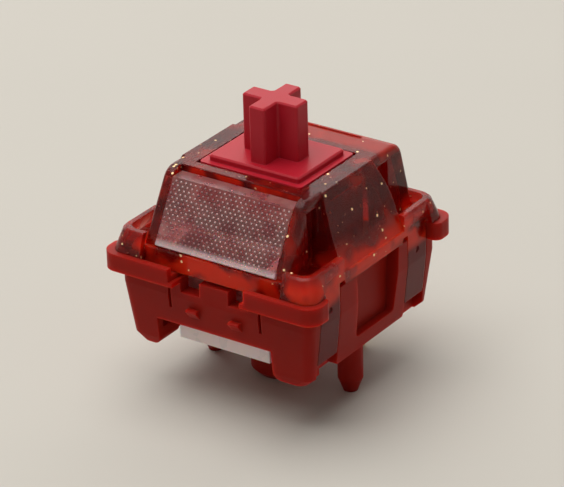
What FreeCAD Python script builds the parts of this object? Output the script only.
import FreeCAD, Part
import math
import os

# A mechanical keyboard switch with a cross stem, a light guide and five fixing points.
# Millimetres. X runs left to right, Y from the light guide's side to the contacts' side, Z up.
# The origin is the centre of the round post where it leaves the housing's base plane.

# Sizes that the keyboard sets
plate_seat_height = 5.0        # underside of the flange over the circuit board
plate_thickness = 1.5          # sheet that the housing snaps into
key_travel = 4.0

# Bottom housing
box_width = 13.9               # outside of the box, where it fills the plate's cut-out
box_taper = 0.45               # how much narrower each side is at the foot
taper_height = 4.0             # the sides are upright above this
box_corner_radius = 0.6
side_wall = 1.1                # left and right walls, which carry the clip slots
end_wall = 0.85                # front and rear walls
flange_overhang = 0.85         # how far the flange stands out from the box
flange_thickness = 1.15
flange_corner_radius = 1.0
ear_end_radius = 0.5
flange_gap = 5.5               # open middle of the front and rear flange, at its top
flange_gap_slope = 0.4         # how much narrower each side of that gap is lower down
foot_height = 0.4              # the corner feet stand this far below the floor
left_foot_width = 2.45         # along X, from the box's side
right_foot_width = 3.05
foot_depth = 2.45              # along Y, from the box's front or rear
foot_bevel = 0.1               # a foot's lower edge, at the box's front and rear
foot_corner = 0.5              # its lower corners: bevelled at the box's side, rounded inside
wall_corner_radius = 0.3       # a side wall's lower corners, beside the clip slots
floor_thickness = 0.7
post_diameter = 3.9
post_length = 3.3
post_bevel = 0.45
post_tip_length = 0.45
peg_diameter = 1.6
peg_pitch = 5.08               # from the post to each side peg
peg_length = 3.3
peg_bevel = 0.35
peg_tip_length = 0.9
tower_height = 3.4             # spring's inner guide, over the floor
tower_wall = 0.72
bore_floor = 1.0               # solid end of the post under the stem's bore
lamp_notch_height = 2.0        # front wall's lower edge, over the board
partition_thickness = 0.35     # wall between the light guide and the spring
partition_gap = 0.35           # from it to the stem
notch_width = 1.4              # two open notches beside the front tongue
notch_spacing = 3.5
notch_bottom = 4.4
tongue_top = 5.3
slit_width = 0.2               # cuts that free the snap tongue
slit_spacing = 6.6
slit_top = 4.9
slit_length = 1.8
snap_width = 0.75
snap_spacing = 3.1
snap_depth = 0.35
snap_height = 1.05
snap_nose = 0.1                # bevel of the ramp's upper edge
window_top_width = 4.65        # blind pocket in each side, open to the side panel above it
window_low_width = 4.15
window_centre = 0.4            # its middle, towards the contacts' side
window_depth = 0.85
window_sill = 1.45             # pocket's lower edge over the board
window_corner_radius = 0.3
guide_wall = 0.7               # walls each side of the stem's guide groove

# Top housing
housing_height = 11.15         # top face over the board
groove_wall = 0.8              # from the stem's guide groove to the top face's side
top_front = 4.45               # of the top face, from the centre towards the light guide
top_rear = 5.9
hood_side_flare = 0.1          # how far the hood's sides spread down to the collar
hood_front_inset = 0.35        # from the box's front to the foot of the front slope
hood_rear_inset = 0.05
hood_slope_drop = 0.3          # from the collar's rim down to the ends of both slopes
hood_root = 1.0                # how far the hood's sides go on below the flange's top
hood_wall = 0.7
hood_edge_radius = 0.3         # along the hood's sides
crest_radius = 1.1             # where the top face turns into the front and rear slopes
collar_rise = 1.45             # rim of the four corner pockets, over the flange
collar_overhang = 0.05         # how far the rim stands out from the box
collar_flare = 0.4
collar_wall = 0.5
collar_rim_bevel = 0.12
collar_corner_radius = 0.9
base_plate_thickness = 0.45
side_panel_top_width = 5.3     # raised panel in the middle of each side, along Y
side_panel_width = 6.6         # at its widest, halfway down
side_panel_low_width = 6.3
side_panel_bow = 0.15          # its face bows out this much between the top and the lip
side_panel_drop = 0.35         # its lower edge is this far below the flange's top
side_panel_lip = 0.4           # upright band along its lower edge
side_panel_wall = 0.6
rail_width = 0.7               # frame each side of the light guide
rail_rear = 4.4                # the frame's sides end here, and a recess begins
recess_depth = 0.45            # between the frame and the side panel
front_bar_face = 3.7           # the top face's front bar, in front of the stem
sill_rise = 0.7                # under the light guide, over the flange
sill_inset = 0.1               # its face, from the box's front
sill_thickness = 0.55
trough_depth = 0.55            # the sill and the frame stand in a trough of the flange
trough_lip = 0.4               # what the trough leaves of the flange
opening_clearance = 0.12       # round the stem's shoulder
clip_width = 2.05
clip_inset = 2.175             # its middle, from the box's front or rear
clip_thickness = 0.6
clip_bottom = 1.4              # lower end over the board
clip_hook = 0.2
clip_hook_height = 0.55
clip_hook_ramp = 0.33          # sloped part of that height
clip_clearance = 0.07
dimple_radius = 0.2            # gate mark in each clip leg's outer face
dimple_depth = 0.08
dimple_height = 4.75
label_field = (5.6, 1.5, 0.1)  # bare recess on the rear bar: width, depth along Y, depth down

# Light guide
lens_clearance = 0.05
lens_top_drop = 0.43           # its top, below the housing's top face
lens_top_front = 4.7           # its flat top strip ends here
lens_foot_setback = 0.05       # the sloped face's lower edge, behind the sill's face
lens_foot_bevel = 0.12
guide_half_width = 3.3
guide_bottom = 0.7
guide_gap = 0.1                # between its shank and the housing's front wall
shank_bevel = 0.3

# Stem
stem_top = 15.2
cross_width = 4.0
cross_arm_x = 1.25             # thickness of the arm that runs along X
cross_arm_y = 1.15             # thickness of the arm that runs along Y
cross_edge_radius = 0.16
cross_top_bevel = 0.1
shoulder_top = 11.55
shoulder_width = 7.4
shoulder_depth = 5.8
ledge_height = 11.18           # flat rim round the shoulder, a little over the housing's top
ledge_width = 0.4
shoulder_edge_bevel = 0.1
shoulder_corner_radius = 0.25
crown_thickness = 0.9
skirt_wall = 0.6
skirt_bottom = 8.0
pole_diameter = 1.9
pole_bevel = 0.28
rail_depth = 0.55              # how far each guide rail stands out of the skirt
rail_breadth = 2.0
rail_length = 4.95
actuator_width = 0.8
actuator_spacing = 3.5
actuator_bottom = 5.8
actuator_reach = 3.6           # thick end, from the centre
actuator_drop = 0.2            # its root, below the guide rails' top
actuator_lead = 0.4            # bevel of its lower end
running_gap = 0.05             # between sliding plastic faces
stop_gap = 0.05                # left at the ends of the travel

# Spring
wire_diameter = 0.25
wire_sides = 5                 # flats that stand for the wire's round section
spring_turns = 11
spring_gap = 0.12              # from the guide tower to the coil's inside
spring_seat_gap = 0.01

# Contacts
sheet = 0.3                    # thickness of both stamped terminals
pin_width = 0.9
pin_length = 3.3
pin_taper = 0.8
pin_tip_width = 0.3
pin_slot_gap = 0.03
fixed_pin = (-3.81, 2.54)
moving_pin = (2.54, 5.08)
fixed_plate_y = 3.5            # middle of the fixed plate's thickness
fixed_plate_top = 7.9
fixed_arm_width = 1.7
fixed_arm_corner = 0.42
fixed_foot_height = 0.55       # the low bar that joins its arm to its pin
moving_plate_gap = 0.1         # from the rear wall
moving_plate_top = 5.2
moving_plate_left = -2.6
moving_plate_corner = 0.6
leaf_thickness = 0.1
leaf_seat_gap = 0.02
leaf_width = 4.4
leaf_foot_bottom = 1.6
leaf_foot_height = 1.2
leaf_bend_height = 6.0         # where the sloped leaf turns upright
leaf_top = 7.5
leaf_tongue_width = 1.5
prong_width = 0.75
prong_spacing = 3.5
prong_root_height = 4.7
prong_rise = 1.6               # from a prong's root to where it meets the actuator
prong_overlap = 0.4            # how far below its root a prong is still part of the strip
prong_lip = (0.35, 0.5)        # its bent end: outwards, upwards
prong_gap = 0.05
contact_height = 7.0
fixed_contact_length = 1.2
moving_contact_length = 0.9
contact_base = 0.4
contact_crest = 0.1
contact_rise = 0.2
contact_gap = 0.33             # open distance at rest
closed_gap = 0.02              # left when the key is fully down

# Sizes that follow from the ones above
box_half = box_width / 2
flange_half = box_half + flange_overhang
flange_top = plate_seat_height + flange_thickness
floor_top = foot_height + floor_thickness
side_inner = box_half - side_wall
end_inner = box_half - end_wall
post_radius = post_diameter / 2
pole_radius = pole_diameter / 2
bore_radius = pole_radius + running_gap
tower_radius = bore_radius + tower_wall
tower_top = floor_top + tower_height
bore_bottom = bore_floor - post_length
spring_radius = tower_radius + spring_gap + wire_diameter / 2
partition_rear = shoulder_depth / 2 + partition_gap
partition_front = partition_rear + partition_thickness
crown_underside = shoulder_top - crown_thickness
skirt_half_x = shoulder_width / 2
skirt_half_y = shoulder_depth / 2
rail_outer = skirt_half_x + rail_depth
rail_top = housing_height - hood_wall - stop_gap
rail_bottom = rail_top - rail_length
groove_outer = rail_outer + running_gap
groove_half = rail_breadth / 2 + running_gap
opening_half_x = skirt_half_x + opening_clearance
opening_half_y = skirt_half_y + opening_clearance
top_half_width = groove_outer + groove_wall
lens_half_width = top_half_width - rail_width - lens_clearance
guide_back = front_bar_face + lens_clearance
frame_bottom = flange_top - trough_depth
pocket_floor = flange_top + base_plate_thickness
collar_height = flange_top + collar_rise
collar_top_half = box_half + collar_overhang
collar_low_half = collar_top_half + collar_flare
hood_slope_end = collar_height - hood_slope_drop
hood_front = box_half - hood_front_inset
hood_rear = box_half - hood_rear_inset
side_panel_bottom = flange_top - side_panel_drop
sill_top = flange_top + sill_rise
sill_face = box_half - sill_inset
sill_back = sill_face - sill_thickness
lens_top = housing_height - lens_top_drop
lens_foot_front = sill_face - lens_foot_setback
slot_depth_x = box_half - clip_thickness - clip_clearance
clip_centre = box_half - clip_inset
slot_half = clip_width / 2 + clip_clearance
slot_near = clip_centre - slot_half
slot_far = clip_centre + slot_half
left_foot_inner = left_foot_width - box_half
right_foot_inner = box_half - right_foot_width
foot_inner_y = box_half - foot_depth
leaf_pivot_y = end_inner - moving_plate_gap - sheet - leaf_seat_gap
leaf_pivot_z = leaf_foot_bottom
leaf_swing = (contact_gap - closed_gap) / (contact_height - leaf_pivot_z)
prong_height = prong_root_height + prong_rise
prong_travel = leaf_swing * (prong_height - leaf_pivot_z)
contact_face_y = fixed_plate_y + sheet / 2
leaf_face_y = contact_face_y + 2 * contact_rise + contact_gap
FAR = 20.0                     # longer than anything here, for through cuts
OVERLAP = 0.1                  # how far joined solids reach into each other
TINY = 0.01                    # tolerance for picking an edge by its place


def vec(x, y, z):
    return FreeCAD.Vector(x, y, z)


def block(x_span, y_span, z_span):
    """A box from its lowest and highest value along each axis."""
    size = [high - low for low, high in (x_span, y_span, z_span)]
    return Part.makeBox(size[0], size[1], size[2], vec(x_span[0], y_span[0], z_span[0]))


def both(half):
    """A span that lies evenly about zero."""
    return (-half, half)


def face_of(points):
    return Part.Face(Part.makePolygon(points + [points[0]]))


def rounded_runs(points, radii):
    """The runs of a closed outline whose corners, by number, are rounded to the given radii."""
    def towards(here, there):
        length = math.dist(here, there)
        return ((there[0] - here[0]) / length, (there[1] - here[1]) / length)

    def along(here, direction, distance):
        return (here[0] + direction[0] * distance, here[1] + direction[1] * distance)
    corners = []
    for index, here in enumerate(points):
        back = towards(here, points[index - 1])
        ahead = towards(here, points[(index + 1) % len(points)])
        half_angle = math.acos(back[0] * ahead[0] + back[1] * ahead[1]) / 2
        radius = radii.get(index, 0.0)
        if radius > 0:
            setback = radius / math.tan(half_angle)
            inwards = towards((0, 0), (back[0] + ahead[0], back[1] + ahead[1]))
            middle = along(here, inwards, radius / math.sin(half_angle) - radius)
            corners.append([along(here, back, setback), middle, along(here, ahead, setback)])
        else:
            corners.append([here])
    runs = []
    for index, corner in enumerate(corners):
        runs.append([corners[index - 1][-1], corner[0]])
        if len(corner) == 3:
            runs.append(corner)
    return runs


def drawn_outline(runs, place):
    """A face inside runs of two points, each a line, or three points, each an arc."""
    edges = []
    for run in runs:
        points = [place(*point) for point in run]
        edges.append(Part.makeLine(*points) if len(run) == 2 else Part.Arc(*points).toShape())
    return Part.Face(Part.Wire(edges))


def drawn_along_x(runs, x_span):
    """An outline of lines and arcs seen along X, drawn out over x_span."""
    face = drawn_outline(runs, lambda y, z: vec(x_span[0], y, z))
    return face.extrude(vec(x_span[1] - x_span[0], 0, 0))


def drawn_along_y(runs, y_span):
    """An outline of lines and arcs seen along Y, drawn out over y_span."""
    face = drawn_outline(runs, lambda x, z: vec(x, y_span[0], z))
    return face.extrude(vec(0, y_span[1] - y_span[0], 0))


def lower_corner_waste(side, bottom, inwards, radius):
    """The outline of what rounding takes off a lower corner; inwards is the way into the piece."""
    out, end = side - inwards * OVERLAP, side + inwards * radius
    start, under = bottom + radius, bottom - OVERLAP
    rise = radius * (1 - math.sqrt(0.5))
    arc = [(side, start), (side + inwards * rise, bottom + rise), (end, bottom)]
    around = [(end, bottom), (end, under), (out, under), (out, start), (side, start)]
    return [arc] + [list(pair) for pair in zip(around, around[1:])]


def prism_x(yz_points, x_span):
    """A profile seen along X, drawn out over x_span."""
    face = face_of([vec(x_span[0], y, z) for y, z in yz_points])
    return face.extrude(vec(x_span[1] - x_span[0], 0, 0))


def prism_y(xz_points, y_span):
    """A profile seen along Y, drawn out over y_span."""
    face = face_of([vec(x, y_span[0], z) for x, z in xz_points])
    return face.extrude(vec(0, y_span[1] - y_span[0], 0))


def rounded_rectangle(half_x, half_y, radius, z):
    """A closed outline with four corner arcs, at height z."""
    edges = []
    corners = [(1, 1, 0), (-1, 1, 90), (-1, -1, 180), (1, -1, 270)]
    arcs = []
    for sign_x, sign_y, start in corners:
        centre = vec(sign_x * (half_x - radius), sign_y * (half_y - radius), z)
        ends = []
        for angle in (start, start + 45, start + 90):
            turn = math.radians(angle)
            ends.append(centre + vec(radius * math.cos(turn), radius * math.sin(turn), 0))
        arcs.append(ends)
    for index, arc in enumerate(arcs):
        following = arcs[(index + 1) % 4]
        edges.append(Part.Arc(*arc).toShape())
        edges.append(Part.makeLine(arc[2], following[0]))
    return Part.Wire(edges)


def square(half, z):
    """A square section for rounded_block."""
    return (half, half, z)


def rounded_block(levels, radius):
    """A block through sections given as (half along X, half along Y, height), from low to high."""
    sections = [rounded_rectangle(half_x, half_y, radius, z) for half_x, half_y, z in levels]
    return join([Part.makeLoft(list(pair), True, True) for pair in zip(sections, sections[1:])])


def join(shapes):
    whole = shapes[0]
    if len(shapes) > 1:
        whole = whole.multiFuse(shapes[1:])
    return whole.removeSplitter()


def flipped_x(shape):
    return shape.mirror(vec(0, 0, 0), vec(1, 0, 0))


def flipped_y(shape):
    return shape.mirror(vec(0, 0, 0), vec(0, 1, 0))


def on_both_sides(shape):
    """The shape and its mirror image across the middle, left and right."""
    return [shape, flipped_x(shape)]


def on_four_corners(shape):
    return on_both_sides(shape) + on_both_sides(flipped_y(shape))


def bevelled_pin(radius, bevel, tip_length, place, length):
    """A round peg that points down from the floor to this far below the board, with a drawn-in tip."""
    x, y = place
    shank = Part.makeCylinder(radius, foot_height + length - tip_length, vec(x, y, tip_length - length))
    tip = Part.makeCone(radius - bevel, radius, tip_length, vec(x, y, -length))
    return shank.fuse(tip).removeSplitter()


def sheet_profile(points, thickness):
    """The outline of a bent sheet: points is its middle line, mitred at each bend."""
    left, right = [], []
    for index, (u, v) in enumerate(points):
        normals = []
        for a, b in ((index - 1, index), (index, index + 1)):
            if a >= 0 and b < len(points):
                du, dv = points[b][0] - points[a][0], points[b][1] - points[a][1]
                length = math.hypot(du, dv)
                normals.append((-dv / length, du / length))
        nu = sum(n[0] for n in normals) / len(normals)
        nv = sum(n[1] for n in normals) / len(normals)
        reach = thickness / 2 / (nu * nu + nv * nv)
        left.append((u + nu * reach, v + nv * reach))
        right.append((u - nu * reach, v - nv * reach))
    return left + right[::-1]


def box_half_at(z):
    """Half the width of the tapered box at this height."""
    return box_half - box_taper * max(0.0, taper_height - z) / taper_height


def box_shape():
    """The tapered outside of the box up to the flange's top."""
    foot, above_foot = box_half_at(0.0), box_half_at(foot_corner)
    levels = [(foot - foot_corner, foot - foot_bevel, 0.0), square(above_foot, foot_corner)]
    levels += [square(box_half, taper_height), square(box_half, flange_top)]
    return rounded_block(levels, box_corner_radius)


def flange():
    """The rim that sits on the plate: a front and a rear bar with ears round the corners."""
    outline = rounded_rectangle(flange_half, flange_half, flange_corner_radius, plate_seat_height)
    rim = Part.Face(outline).extrude(vec(0, 0, flange_thickness))
    for span in ((box_half, FAR), (-FAR, -box_half)):
        rim = rim.cut(block(span, both(slot_far), (0, FAR)))
    ends = []
    for edge in rim.Edges:
        box, middle = edge.BoundBox, edge.CenterOfMass
        upright = box.ZLength > flange_thickness / 2 and box.XLength < TINY and box.YLength < TINY
        if upright and abs(middle.x) > flange_half - TINY and abs(abs(middle.y) - slot_far) < TINY:
            ends.append(edge)
    rim = rim.makeFillet(ear_end_radius, ends)
    gap_top = flange_gap / 2
    gap_low = gap_top - flange_gap_slope
    z_low, z_high = plate_seat_height - OVERLAP, flange_top + OVERLAP
    gap = [(-gap_low, z_low), (gap_low, z_low), (gap_low, plate_seat_height)]
    gap += [(gap_top, flange_top), (gap_top, z_high), (-gap_top, z_high), (-gap_top, flange_top)]
    gap += [(-gap_low, plate_seat_height)]
    rim = rim.cut(prism_y(gap, (-FAR, -box_half)))
    return rim.cut(prism_y(gap, (box_half, FAR)))


def snap(side):
    """One small ramp that catches under the plate, on the front (-1) or rear (1) wall."""
    top = plate_seat_height - plate_thickness - running_gap
    root = box_half - box_taper
    out = box_half + snap_depth
    ramp = [(root, top), (out - snap_nose, top), (out, top - snap_nose), (root, top - snap_height)]
    middle = snap_spacing / 2
    ramp = [(side * y, z) for y, z in ramp]
    return prism_x(ramp, (middle - snap_width / 2, middle + snap_width / 2))


def wall_cuts(side):
    """Notches, slits and the lowered tongue in the middle of the front or rear wall."""
    span = sorted((side * (end_inner - TINY), side * FAR))
    middle = notch_spacing / 2
    notch = block((middle - notch_width / 2, middle + notch_width / 2), span, (notch_bottom, FAR))
    slit_middle = slit_spacing / 2
    slit_span = (slit_middle - slit_width / 2, slit_middle + slit_width / 2)
    slit = block(slit_span, span, (slit_top - slit_length, slit_top))
    tongue_room = block(both(flange_gap / 2), span, (tongue_top, FAR))
    return on_both_sides(notch) + on_both_sides(slit) + [tongue_room]


def guide_columns():
    """The pair of grooved columns inside the box that the stem's rails run in."""
    inner = skirt_half_x + 2 * running_gap
    column = block((inner, side_inner + OVERLAP), both(groove_half + guide_wall), (floor_top, flange_top))
    groove = block((0, groove_outer), both(groove_half), (floor_top, FAR))
    return on_both_sides(column.cut(groove))


def side_pocket():
    """The blind pocket in the right side wall, wider at its top."""
    low, high = window_low_width / 2, window_top_width / 2
    points = [(window_centre - low, window_sill), (window_centre + low, window_sill)]
    points += [(window_centre + high, side_panel_bottom), (window_centre - high, side_panel_bottom)]
    runs = rounded_runs(points, {0: window_corner_radius, 1: window_corner_radius})
    return drawn_along_x(runs, (box_half - window_depth, FAR))


def foot_cuts():
    """What makes the four feet: the room between them and their rounded lower corners."""
    between = (left_foot_inner, right_foot_inner)
    cuts = [block(between, both(FAR), (-FAR, foot_height))]
    cuts.append(block(both(FAR), both(foot_inner_y), (-FAR, foot_height)))
    # The lamp's room has no floor under the light guide, and the front wall's edge is raised there
    cuts.append(block(between, (-FAR, -partition_front), (-FAR, lamp_notch_height)))
    for side, inwards in ((left_foot_inner, -1), (right_foot_inner, 1)):
        waste = lower_corner_waste(side, 0.0, inwards, foot_corner)
        waste = drawn_along_y(waste, (foot_inner_y, FAR))
        cuts += [waste, flipped_y(waste)]
    waste = lower_corner_waste(slot_near, foot_height, -1, wall_corner_radius)
    return cuts + on_four_corners(drawn_along_x(waste, (side_inner, FAR)))


def bottom_housing():
    hollow = block(both(side_inner), both(end_inner), (floor_top, FAR))
    shell = join([box_shape(), flange()]).cut(hollow)
    wall = block(both(side_inner + OVERLAP), (-partition_front, -partition_rear), (floor_top, flange_top))
    tower = Part.makeCylinder(tower_radius, tower_height + OVERLAP, vec(0, 0, floor_top - OVERLAP))
    snaps = on_both_sides(snap(-1)) + on_both_sides(snap(1))
    shell = join([shell, wall, tower] + guide_columns() + snaps)

    cuts = foot_cuts()
    slot = block((slot_depth_x, FAR), (slot_near, slot_far), (-FAR, FAR))
    catch_bottom = clip_bottom - clip_clearance
    mouth = block((side_inner, FAR), (slot_near, slot_far), (-FAR, catch_bottom))
    catch = block((slot_depth_x - clip_hook - clip_clearance, FAR), (slot_near, slot_far),
                  (catch_bottom, clip_bottom + clip_hook_height + clip_clearance))
    for cut in (slot, mouth, catch):
        cuts += on_four_corners(cut)
    cuts += on_both_sides(side_pocket())
    panel_seat = block((side_inner - TINY, FAR), both(clip_centre), (side_panel_bottom, FAR))
    cuts += on_both_sides(panel_seat)
    trough = block(both(top_half_width + clip_clearance), (trough_lip - flange_half, -end_inner + TINY),
                   (frame_bottom, FAR))
    cuts.append(trough)
    cuts += wall_cuts(-1) + wall_cuts(1)
    for (x, y) in (fixed_pin, moving_pin):
        half_x = pin_width / 2 + pin_slot_gap
        half_y = sheet / 2 + pin_slot_gap
        cuts.append(block((x - half_x, x + half_x), (y - half_y, y + half_y), (-FAR, floor_top + OVERLAP)))
    shell = shell.cut(cuts)

    post = bevelled_pin(post_radius, post_bevel, post_tip_length, (0, 0), post_length)
    peg = bevelled_pin(peg_diameter / 2, peg_bevel, peg_tip_length, (peg_pitch, 0), peg_length)
    shell = join([shell, post] + on_both_sides(peg))
    bore = Part.makeCylinder(bore_radius, tower_top - bore_bottom + OVERLAP, vec(0, 0, bore_bottom))
    return shell.cut(bore).removeSplitter()


def hood_shape(inset):
    """The sloped block of the top housing, or the same drawn in by inset on all sides."""
    top = housing_height - inset
    low = flange_top - hood_root
    side_top = top_half_width - inset
    side_low = side_top + hood_side_flare
    across = [(-side_top, top), (-side_low, flange_top), (-side_low, low)]
    across += [(-x, z) for x, z in across[::-1]]
    front_top, rear_top = -(top_front - inset), top_rear - inset
    front_low, rear_low = inset - hood_front, hood_rear - inset
    along = [(front_top, top), (front_low, hood_slope_end), (front_low, low)]
    along += [(rear_low, low), (rear_low, hood_slope_end), (rear_top, top)]
    radius = crest_radius - inset
    runs = rounded_runs(along, {0: radius, len(along) - 1: radius})
    return prism_y(across, both(FAR)).common(drawn_along_x(runs, both(FAR)))


def rounded_hood():
    """The hood's outside, with a soft edge along its sides."""
    hood = hood_shape(0.0)
    hood = hood.cut(block(both(FAR), both(FAR), (0, flange_top)))
    crests = [edge for edge in hood.Edges
              if edge.BoundBox.ZMin > housing_height - TINY and edge.BoundBox.YLength > top_front]
    return hood.makeFillet(hood_edge_radius, crests)


def side_panel(inset):
    """The raised panel on the right side, or the same drawn in by inset on its outer faces."""
    top, lip = housing_height - inset, side_panel_bottom + side_panel_lip
    reach, upper = box_half - inset, top_half_width - inset
    inner = top_half_width - 2 * hood_wall
    bow = ((upper + reach) / 2 + side_panel_bow, (top + lip) / 2)
    profile = [[(inner, top), (upper, top)], [(upper, top), bow, (reach, lip)],
               [(reach, lip), (reach, side_panel_bottom)],
               [(reach, side_panel_bottom), (inner, side_panel_bottom)],
               [(inner, side_panel_bottom), (inner, top)]]
    across = drawn_along_y(profile, both(FAR))
    half_top, half_middle = side_panel_top_width / 2 - inset, side_panel_width / 2 - inset
    half_low = side_panel_low_width / 2 - inset
    middle = (top + side_panel_bottom) / 2
    barrel = [[(-half_top, top), (half_top, top)],
              [(half_top, top), (half_middle, middle), (half_low, side_panel_bottom)],
              [(half_low, side_panel_bottom), (-half_low, side_panel_bottom)],
              [(-half_low, side_panel_bottom), (-half_middle, middle), (-half_top, top)]]
    return across.common(drawn_along_x(barrel, (0, FAR)))


def clip_leg():
    """One leg that hangs from the collar and hooks behind the bottom housing's side wall."""
    y_span = (clip_centre - clip_width / 2, clip_centre + clip_width / 2)
    inner = box_half - clip_thickness
    leg = block((inner, box_half), y_span, (clip_bottom, flange_top + OVERLAP))
    leg = leg.common(box_shape().fuse(block(both(box_half), both(box_half), (taper_height, FAR))))
    root, catch_height = inner + OVERLAP, clip_bottom + clip_hook_height
    hook = [(root, clip_bottom), (inner, clip_bottom), (inner - clip_hook, clip_bottom + clip_hook_ramp)]
    hook += [(inner - clip_hook, catch_height), (root, catch_height)]
    dimple = Part.makeCylinder(dimple_radius, FAR, vec(box_half - dimple_depth, clip_centre, dimple_height),
                               vec(1, 0, 0))
    return leg.fuse(prism_y(hook, y_span)).cut(dimple)


def corner_collar():
    """The low wall round the base plate, open upwards as a pocket at each corner."""
    levels = [square(collar_low_half, flange_top)]
    levels.append(square(collar_top_half, collar_height - collar_rim_bevel))
    levels.append(square(collar_top_half - collar_rim_bevel, collar_height))
    wall = rounded_block(levels, collar_corner_radius)
    inner_radius = collar_corner_radius - collar_wall / 2
    pocket = rounded_block([square(collar_low_half - collar_wall, pocket_floor),
                            square(collar_top_half - collar_wall, collar_height + OVERLAP)], inner_radius)
    wall = wall.cut(pocket)
    # Its sides are flush with the clip legs, and the frame and the side panels interrupt it
    cuts = on_both_sides(block((collar_top_half, FAR), both(slot_far), (0, FAR)))
    cuts.append(block(both(FAR), both(side_panel_width / 2), (0, FAR)))
    cuts.append(block(both(top_half_width), (-FAR, -end_inner), (0, FAR)))
    cuts.append(block(both(top_half_width), (hood_rear, FAR), (0, FAR)))
    return wall.cut(cuts)


def top_housing():
    collar = corner_collar()
    hood = rounded_hood()
    panel = side_panel(0.0)
    plate = block(both(collar_top_half), both(side_panel_width / 2 + OVERLAP), (flange_top, pocket_floor))
    sill = block(both(top_half_width), (-sill_face, -sill_back), (frame_bottom, sill_top))
    posts = block((top_half_width - rail_width, top_half_width), (-hood_front, -sill_back),
                  (frame_bottom, flange_top + OVERLAP))
    solid = join([collar, hood, sill, plate] + on_both_sides(panel) + on_both_sides(posts))

    hollow = hood_shape(hood_wall)
    hollow = hollow.cut(block(both(FAR), both(FAR), (housing_height - hood_wall, FAR)))
    cuts = [hollow]
    cuts += on_both_sides(side_panel(side_panel_wall))
    inside_half = top_half_width - hood_wall
    cuts.append(block(both(inside_half), (-sill_back, end_inner), (0, pocket_floor)))
    cuts.append(block(both(inside_half), (-sill_back, -front_bar_face), (0, sill_top)))
    cuts.append(block(both(opening_half_x), both(opening_half_y), (flange_top, FAR)))
    recess = block((top_half_width - recess_depth, FAR), (side_panel_width / 2, rail_rear),
                   (pocket_floor, housing_height - hood_wall))
    recess = recess.common(block((0, collar_top_half - collar_wall), both(FAR), (0, FAR)))
    cuts += on_four_corners(recess)
    # The light guide's frame, open to the front and at the top as far as the front bar
    lens_slot = block(both(lens_half_width + lens_clearance), (-FAR, -front_bar_face), (sill_top, FAR))
    cuts.append(lens_slot)
    bar_middle = (opening_half_y + top_rear) / 2
    field_width, field_depth, field_drop = label_field
    cuts.append(block(both(field_width / 2), (bar_middle - field_depth / 2, bar_middle + field_depth / 2),
                      (housing_height - field_drop, FAR)))
    solid = solid.cut(cuts)

    # Ribs under the top face carry the guide grooves on upwards
    rib_inner = skirt_half_x + 2 * running_gap
    rib_outer = top_half_width - hood_wall / 2
    rib_heights = (flange_top, housing_height - hood_wall + OVERLAP)
    rib = block((rib_inner, rib_outer), (groove_half, groove_half + guide_wall), rib_heights)
    back = block((groove_outer, rib_outer), both(groove_half + OVERLAP), rib_heights)
    return join([solid] + on_four_corners(rib) + on_both_sides(back) + on_four_corners(clip_leg()))


def light_guide():
    """The clear piece: a sloped lens above, and a shank that goes down to the lamp."""
    foot = sill_top + lens_clearance
    lens = [(-guide_back, lens_top), (-lens_top_front, lens_top)]
    lens += [(-lens_foot_front, foot + lens_foot_bevel), (-lens_foot_front + lens_foot_bevel, foot)]
    lens += [(-guide_back, foot)]
    shank_front = end_inner - guide_gap
    shank = [(-shank_front, foot + OVERLAP), (-shank_front, guide_bottom)]
    shank += [(-guide_back - shank_bevel, guide_bottom), (-guide_back, guide_bottom + shank_bevel)]
    shank += [(-guide_back, foot + OVERLAP)]
    body = prism_x(lens, both(lens_half_width))
    return body.fuse(prism_x(shank, both(guide_half_width))).removeSplitter()


def cross():
    """The keycap's cross on top of the stem, with softly rounded edges."""
    end, half_x, half_y = cross_width / 2, cross_arm_x / 2, cross_arm_y / 2
    quarter = [(end, half_x), (half_y, half_x), (half_y, end)]
    points = quarter + [(-x, y) for x, y in quarter[::-1]]
    points += [(-x, -y) for x, y in quarter] + [(x, -y) for x, y in quarter[::-1]]
    runs = rounded_runs(points, {corner: cross_edge_radius for corner in range(len(points))})
    foot = shoulder_top - OVERLAP
    body = drawn_outline(runs, lambda x, y: vec(x, y, foot)).extrude(vec(0, 0, stem_top - foot))
    rim = [edge for edge in body.Edges if edge.BoundBox.ZMin > stem_top - TINY]
    return body.makeChamfer(cross_top_bevel, rim)


def shoulder():
    """The block under the cross: a raised table on a wider ledge, hollow below."""
    low = rounded_rectangle(skirt_half_x, skirt_half_y, shoulder_corner_radius, skirt_bottom)
    skirt = Part.Face(low).extrude(vec(0, 0, ledge_height - skirt_bottom))
    table_foot = ledge_height - OVERLAP
    outline = rounded_rectangle(skirt_half_x - ledge_width, skirt_half_y - ledge_width,
                                shoulder_corner_radius, table_foot)
    table = Part.Face(outline).extrude(vec(0, 0, shoulder_top - table_foot))
    rim = [edge for edge in table.Edges if edge.BoundBox.ZMin > shoulder_top - TINY]
    table = table.makeChamfer(shoulder_edge_bevel, rim)
    inner_x, inner_y = skirt_half_x - skirt_wall, skirt_half_y - skirt_wall
    hollow = block(both(inner_x), both(inner_y), (skirt_bottom - OVERLAP, crown_underside))
    return join([skirt, table]).cut(hollow)


def actuator():
    """One leg that holds a prong of the leaf away while the key is up."""
    def reach_at(z):
        return actuator_reach - prong_travel * max(0.0, z - prong_height) / key_travel
    top = rail_top - actuator_drop
    root = skirt_half_y - skirt_wall
    ramp = [(root, top), (reach_at(top), top), (reach_at(prong_height), prong_height)]
    ramp += [(actuator_reach, actuator_bottom + actuator_lead)]
    ramp += [(actuator_reach - actuator_lead, actuator_bottom), (root, actuator_bottom)]
    middle = actuator_spacing / 2
    return prism_x(ramp, (middle - actuator_width / 2, middle + actuator_width / 2))


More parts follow.
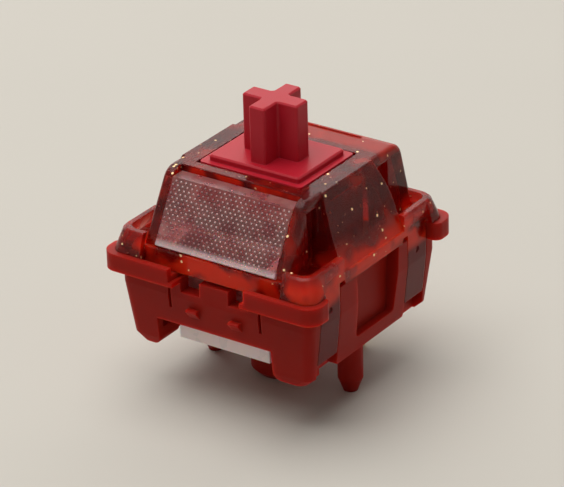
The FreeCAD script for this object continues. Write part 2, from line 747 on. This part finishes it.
def stem():
    rail = block((skirt_half_x - skirt_wall, rail_outer), both(rail_breadth / 2), (rail_bottom, rail_top))
    pole_bottom = bore_bottom + key_travel + stop_gap
    pole = Part.makeCylinder(pole_radius, crown_underside - pole_bottom + OVERLAP, vec(0, 0, pole_bottom))
    tip = [edge for edge in pole.Edges if edge.BoundBox.ZMax < pole_bottom + TINY]
    pole = pole.makeChamfer(pole_bevel, tip)
    pieces = [shoulder(), cross(), pole]
    return join(pieces + on_both_sides(rail) + on_both_sides(actuator()))


def return_spring():
    """A coil spring between the floor and the underside of the stem's crown."""
    wire_radius = wire_diameter / 2
    low = floor_top + wire_radius + spring_seat_gap
    high = crown_underside - wire_radius - spring_seat_gap
    helix = Part.makeLongHelix((high - low) / spring_turns, high - low, spring_radius)
    helix.translate(vec(0, 0, low))
    corners = []
    for side in range(wire_sides):
        turn = 2 * math.pi * side / wire_sides
        across, up = wire_radius * math.cos(turn), wire_radius * math.sin(turn)
        corners.append(vec(spring_radius + across, 0, low + up))
    section = Part.makePolygon(corners + [corners[0]])
    return Part.Wire(helix.Edges).makePipeShell([section], True, True)


def pin(x, y, top):
    """A flat pin through the floor, drawn to a wedge at its tip."""
    half, tip = pin_width / 2, pin_tip_width / 2
    outline = [(x - half, top), (x - half, pin_taper - pin_length), (x - tip, -pin_length)]
    outline += [(x + tip, -pin_length), (x + half, pin_taper - pin_length), (x + half, top)]
    return prism_y(outline, (y - sheet / 2, y + sheet / 2))


def upper_corners(plate, top):
    """The two short edges along Y at the top of an upright plate."""
    return [edge for edge in plate.Edges
            if edge.CenterOfMass.z > top - TINY and edge.BoundBox.XLength < TINY]


def fixed_terminal():
    """The still contact: an upright arm, a low foot along X and a pin set nearer the stem."""
    half_sheet = sheet / 2
    left = fixed_pin[0] - pin_width / 2
    right = fixed_arm_width / 2
    step = sheet_profile([(fixed_pin[1], -sheet), (fixed_pin[1], floor_top + half_sheet),
                          (fixed_plate_y, floor_top + half_sheet),
                          (fixed_plate_y, floor_top + fixed_foot_height)], sheet)
    jog = prism_x(step, (left, left + pin_width)).cut(block(both(FAR), both(FAR), (-FAR, 0)))
    y_span = (fixed_plate_y - half_sheet, fixed_plate_y + half_sheet)
    foot = block((left, right), y_span, (floor_top, floor_top + fixed_foot_height))
    arm = block(both(fixed_arm_width / 2), y_span, (floor_top, fixed_plate_top))
    arm = arm.makeFillet(fixed_arm_corner, upper_corners(arm, fixed_plate_top))
    return join([jog, foot, arm, pin(fixed_pin[0], fixed_pin[1], floor_top / 2)])


def moving_terminal():
    """The plate that carries the leaf, stood against the rear wall, with its own pin."""
    plate_y = end_inner - moving_plate_gap - sheet / 2
    right = moving_pin[0] + pin_width / 2
    step = sheet_profile([(moving_pin[1], -sheet), (moving_pin[1], floor_top + sheet / 2),
                          (plate_y, floor_top + sheet / 2), (plate_y, floor_top + 2 * sheet)], sheet)
    jog = prism_x(step, (right - pin_width, right)).cut(block(both(FAR), both(FAR), (-FAR, 0)))
    y_span = (plate_y - sheet / 2, plate_y + sheet / 2)
    plate = block((moving_plate_left, right), y_span, (floor_top, moving_plate_top))
    plate = plate.makeFillet(moving_plate_corner, upper_corners(plate, moving_plate_top))
    return join([jog, plate, pin(moving_pin[0], moving_pin[1], floor_top / 2)])


def moving_leaf():
    """The thin spring leaf: a wide foot, a sloped body, a middle tongue and two prongs."""
    half = leaf_thickness / 2
    foot_y = leaf_pivot_y - half
    tongue_y = leaf_face_y + half
    foot_top = leaf_foot_bottom + leaf_foot_height
    line = [(foot_y, leaf_foot_bottom), (foot_y, foot_top), (tongue_y, leaf_bend_height),
            (tongue_y, leaf_top)]
    strip = prism_x(sheet_profile(line, leaf_thickness), both(leaf_width / 2))
    # Above the prongs' roots only the middle tongue goes on
    for side in (-1, 1):
        span = sorted((side * leaf_tongue_width / 2, side * FAR))
        strip = strip.cut(block(span, both(FAR), (prong_root_height, FAR)))
    slope = (tongue_y - foot_y) / (leaf_bend_height - foot_top)
    root_y = foot_y + slope * (prong_root_height - foot_top)
    before_root = (root_y - slope * prong_overlap, prong_root_height - prong_overlap)
    tip_y = actuator_reach + prong_gap + half
    lip = (tip_y + prong_lip[0], prong_height + prong_lip[1])
    bend = [before_root, (root_y, prong_root_height), (tip_y, prong_height), lip]
    middle = prong_spacing / 2
    prong = prism_x(sheet_profile(bend, leaf_thickness),
                    (middle - prong_width / 2, middle + prong_width / 2))
    return join([strip] + on_both_sides(prong))


def contact_ridge(along, y_face, direction):
    """A small roof-shaped bar of contact metal that stands out of y_face in direction."""
    half, top = contact_base / 2, contact_crest / 2
    reach = direction * contact_rise
    if along == "x":
        profile = [(y_face, contact_height - half), (y_face + reach, contact_height - top),
                   (y_face + reach, contact_height + top), (y_face, contact_height + half)]
        return prism_x(profile, both(fixed_contact_length / 2))
    points = [vec(-half, y_face, 0), vec(-top, y_face + reach, 0), vec(top, y_face + reach, 0),
              vec(half, y_face, 0)]
    bar = face_of(points).extrude(vec(0, 0, moving_contact_length))
    bar.translate(vec(0, 0, contact_height - moving_contact_length / 2))
    return bar


def fixed_contact_point():
    return contact_ridge("x", contact_face_y, 1)


def moving_contact_point():
    return contact_ridge("z", leaf_face_y, -1)


PIECES = {
    "bottom_housing": bottom_housing,
    "top_housing": top_housing,
    "light_guide": light_guide,
    "stem": stem,
    "return_spring": return_spring,
    "fixed_terminal": fixed_terminal,
    "fixed_contact_point": fixed_contact_point,
    "moving_terminal": moving_terminal,
    "moving_leaf": moving_leaf,
    "moving_contact_point": moving_contact_point,
}


def main():
    os.makedirs("parts", exist_ok=True)
    for name, build in PIECES.items():
        shape = build()
        if len(shape.Solids) == 1:
            shape = shape.Solids[0]
        print(name, "valid", shape.isValid(), "solids", len(shape.Solids),
              "volume", round(shape.Volume, 3))
        shape.exportStep("parts/" + name + ".step")


main()
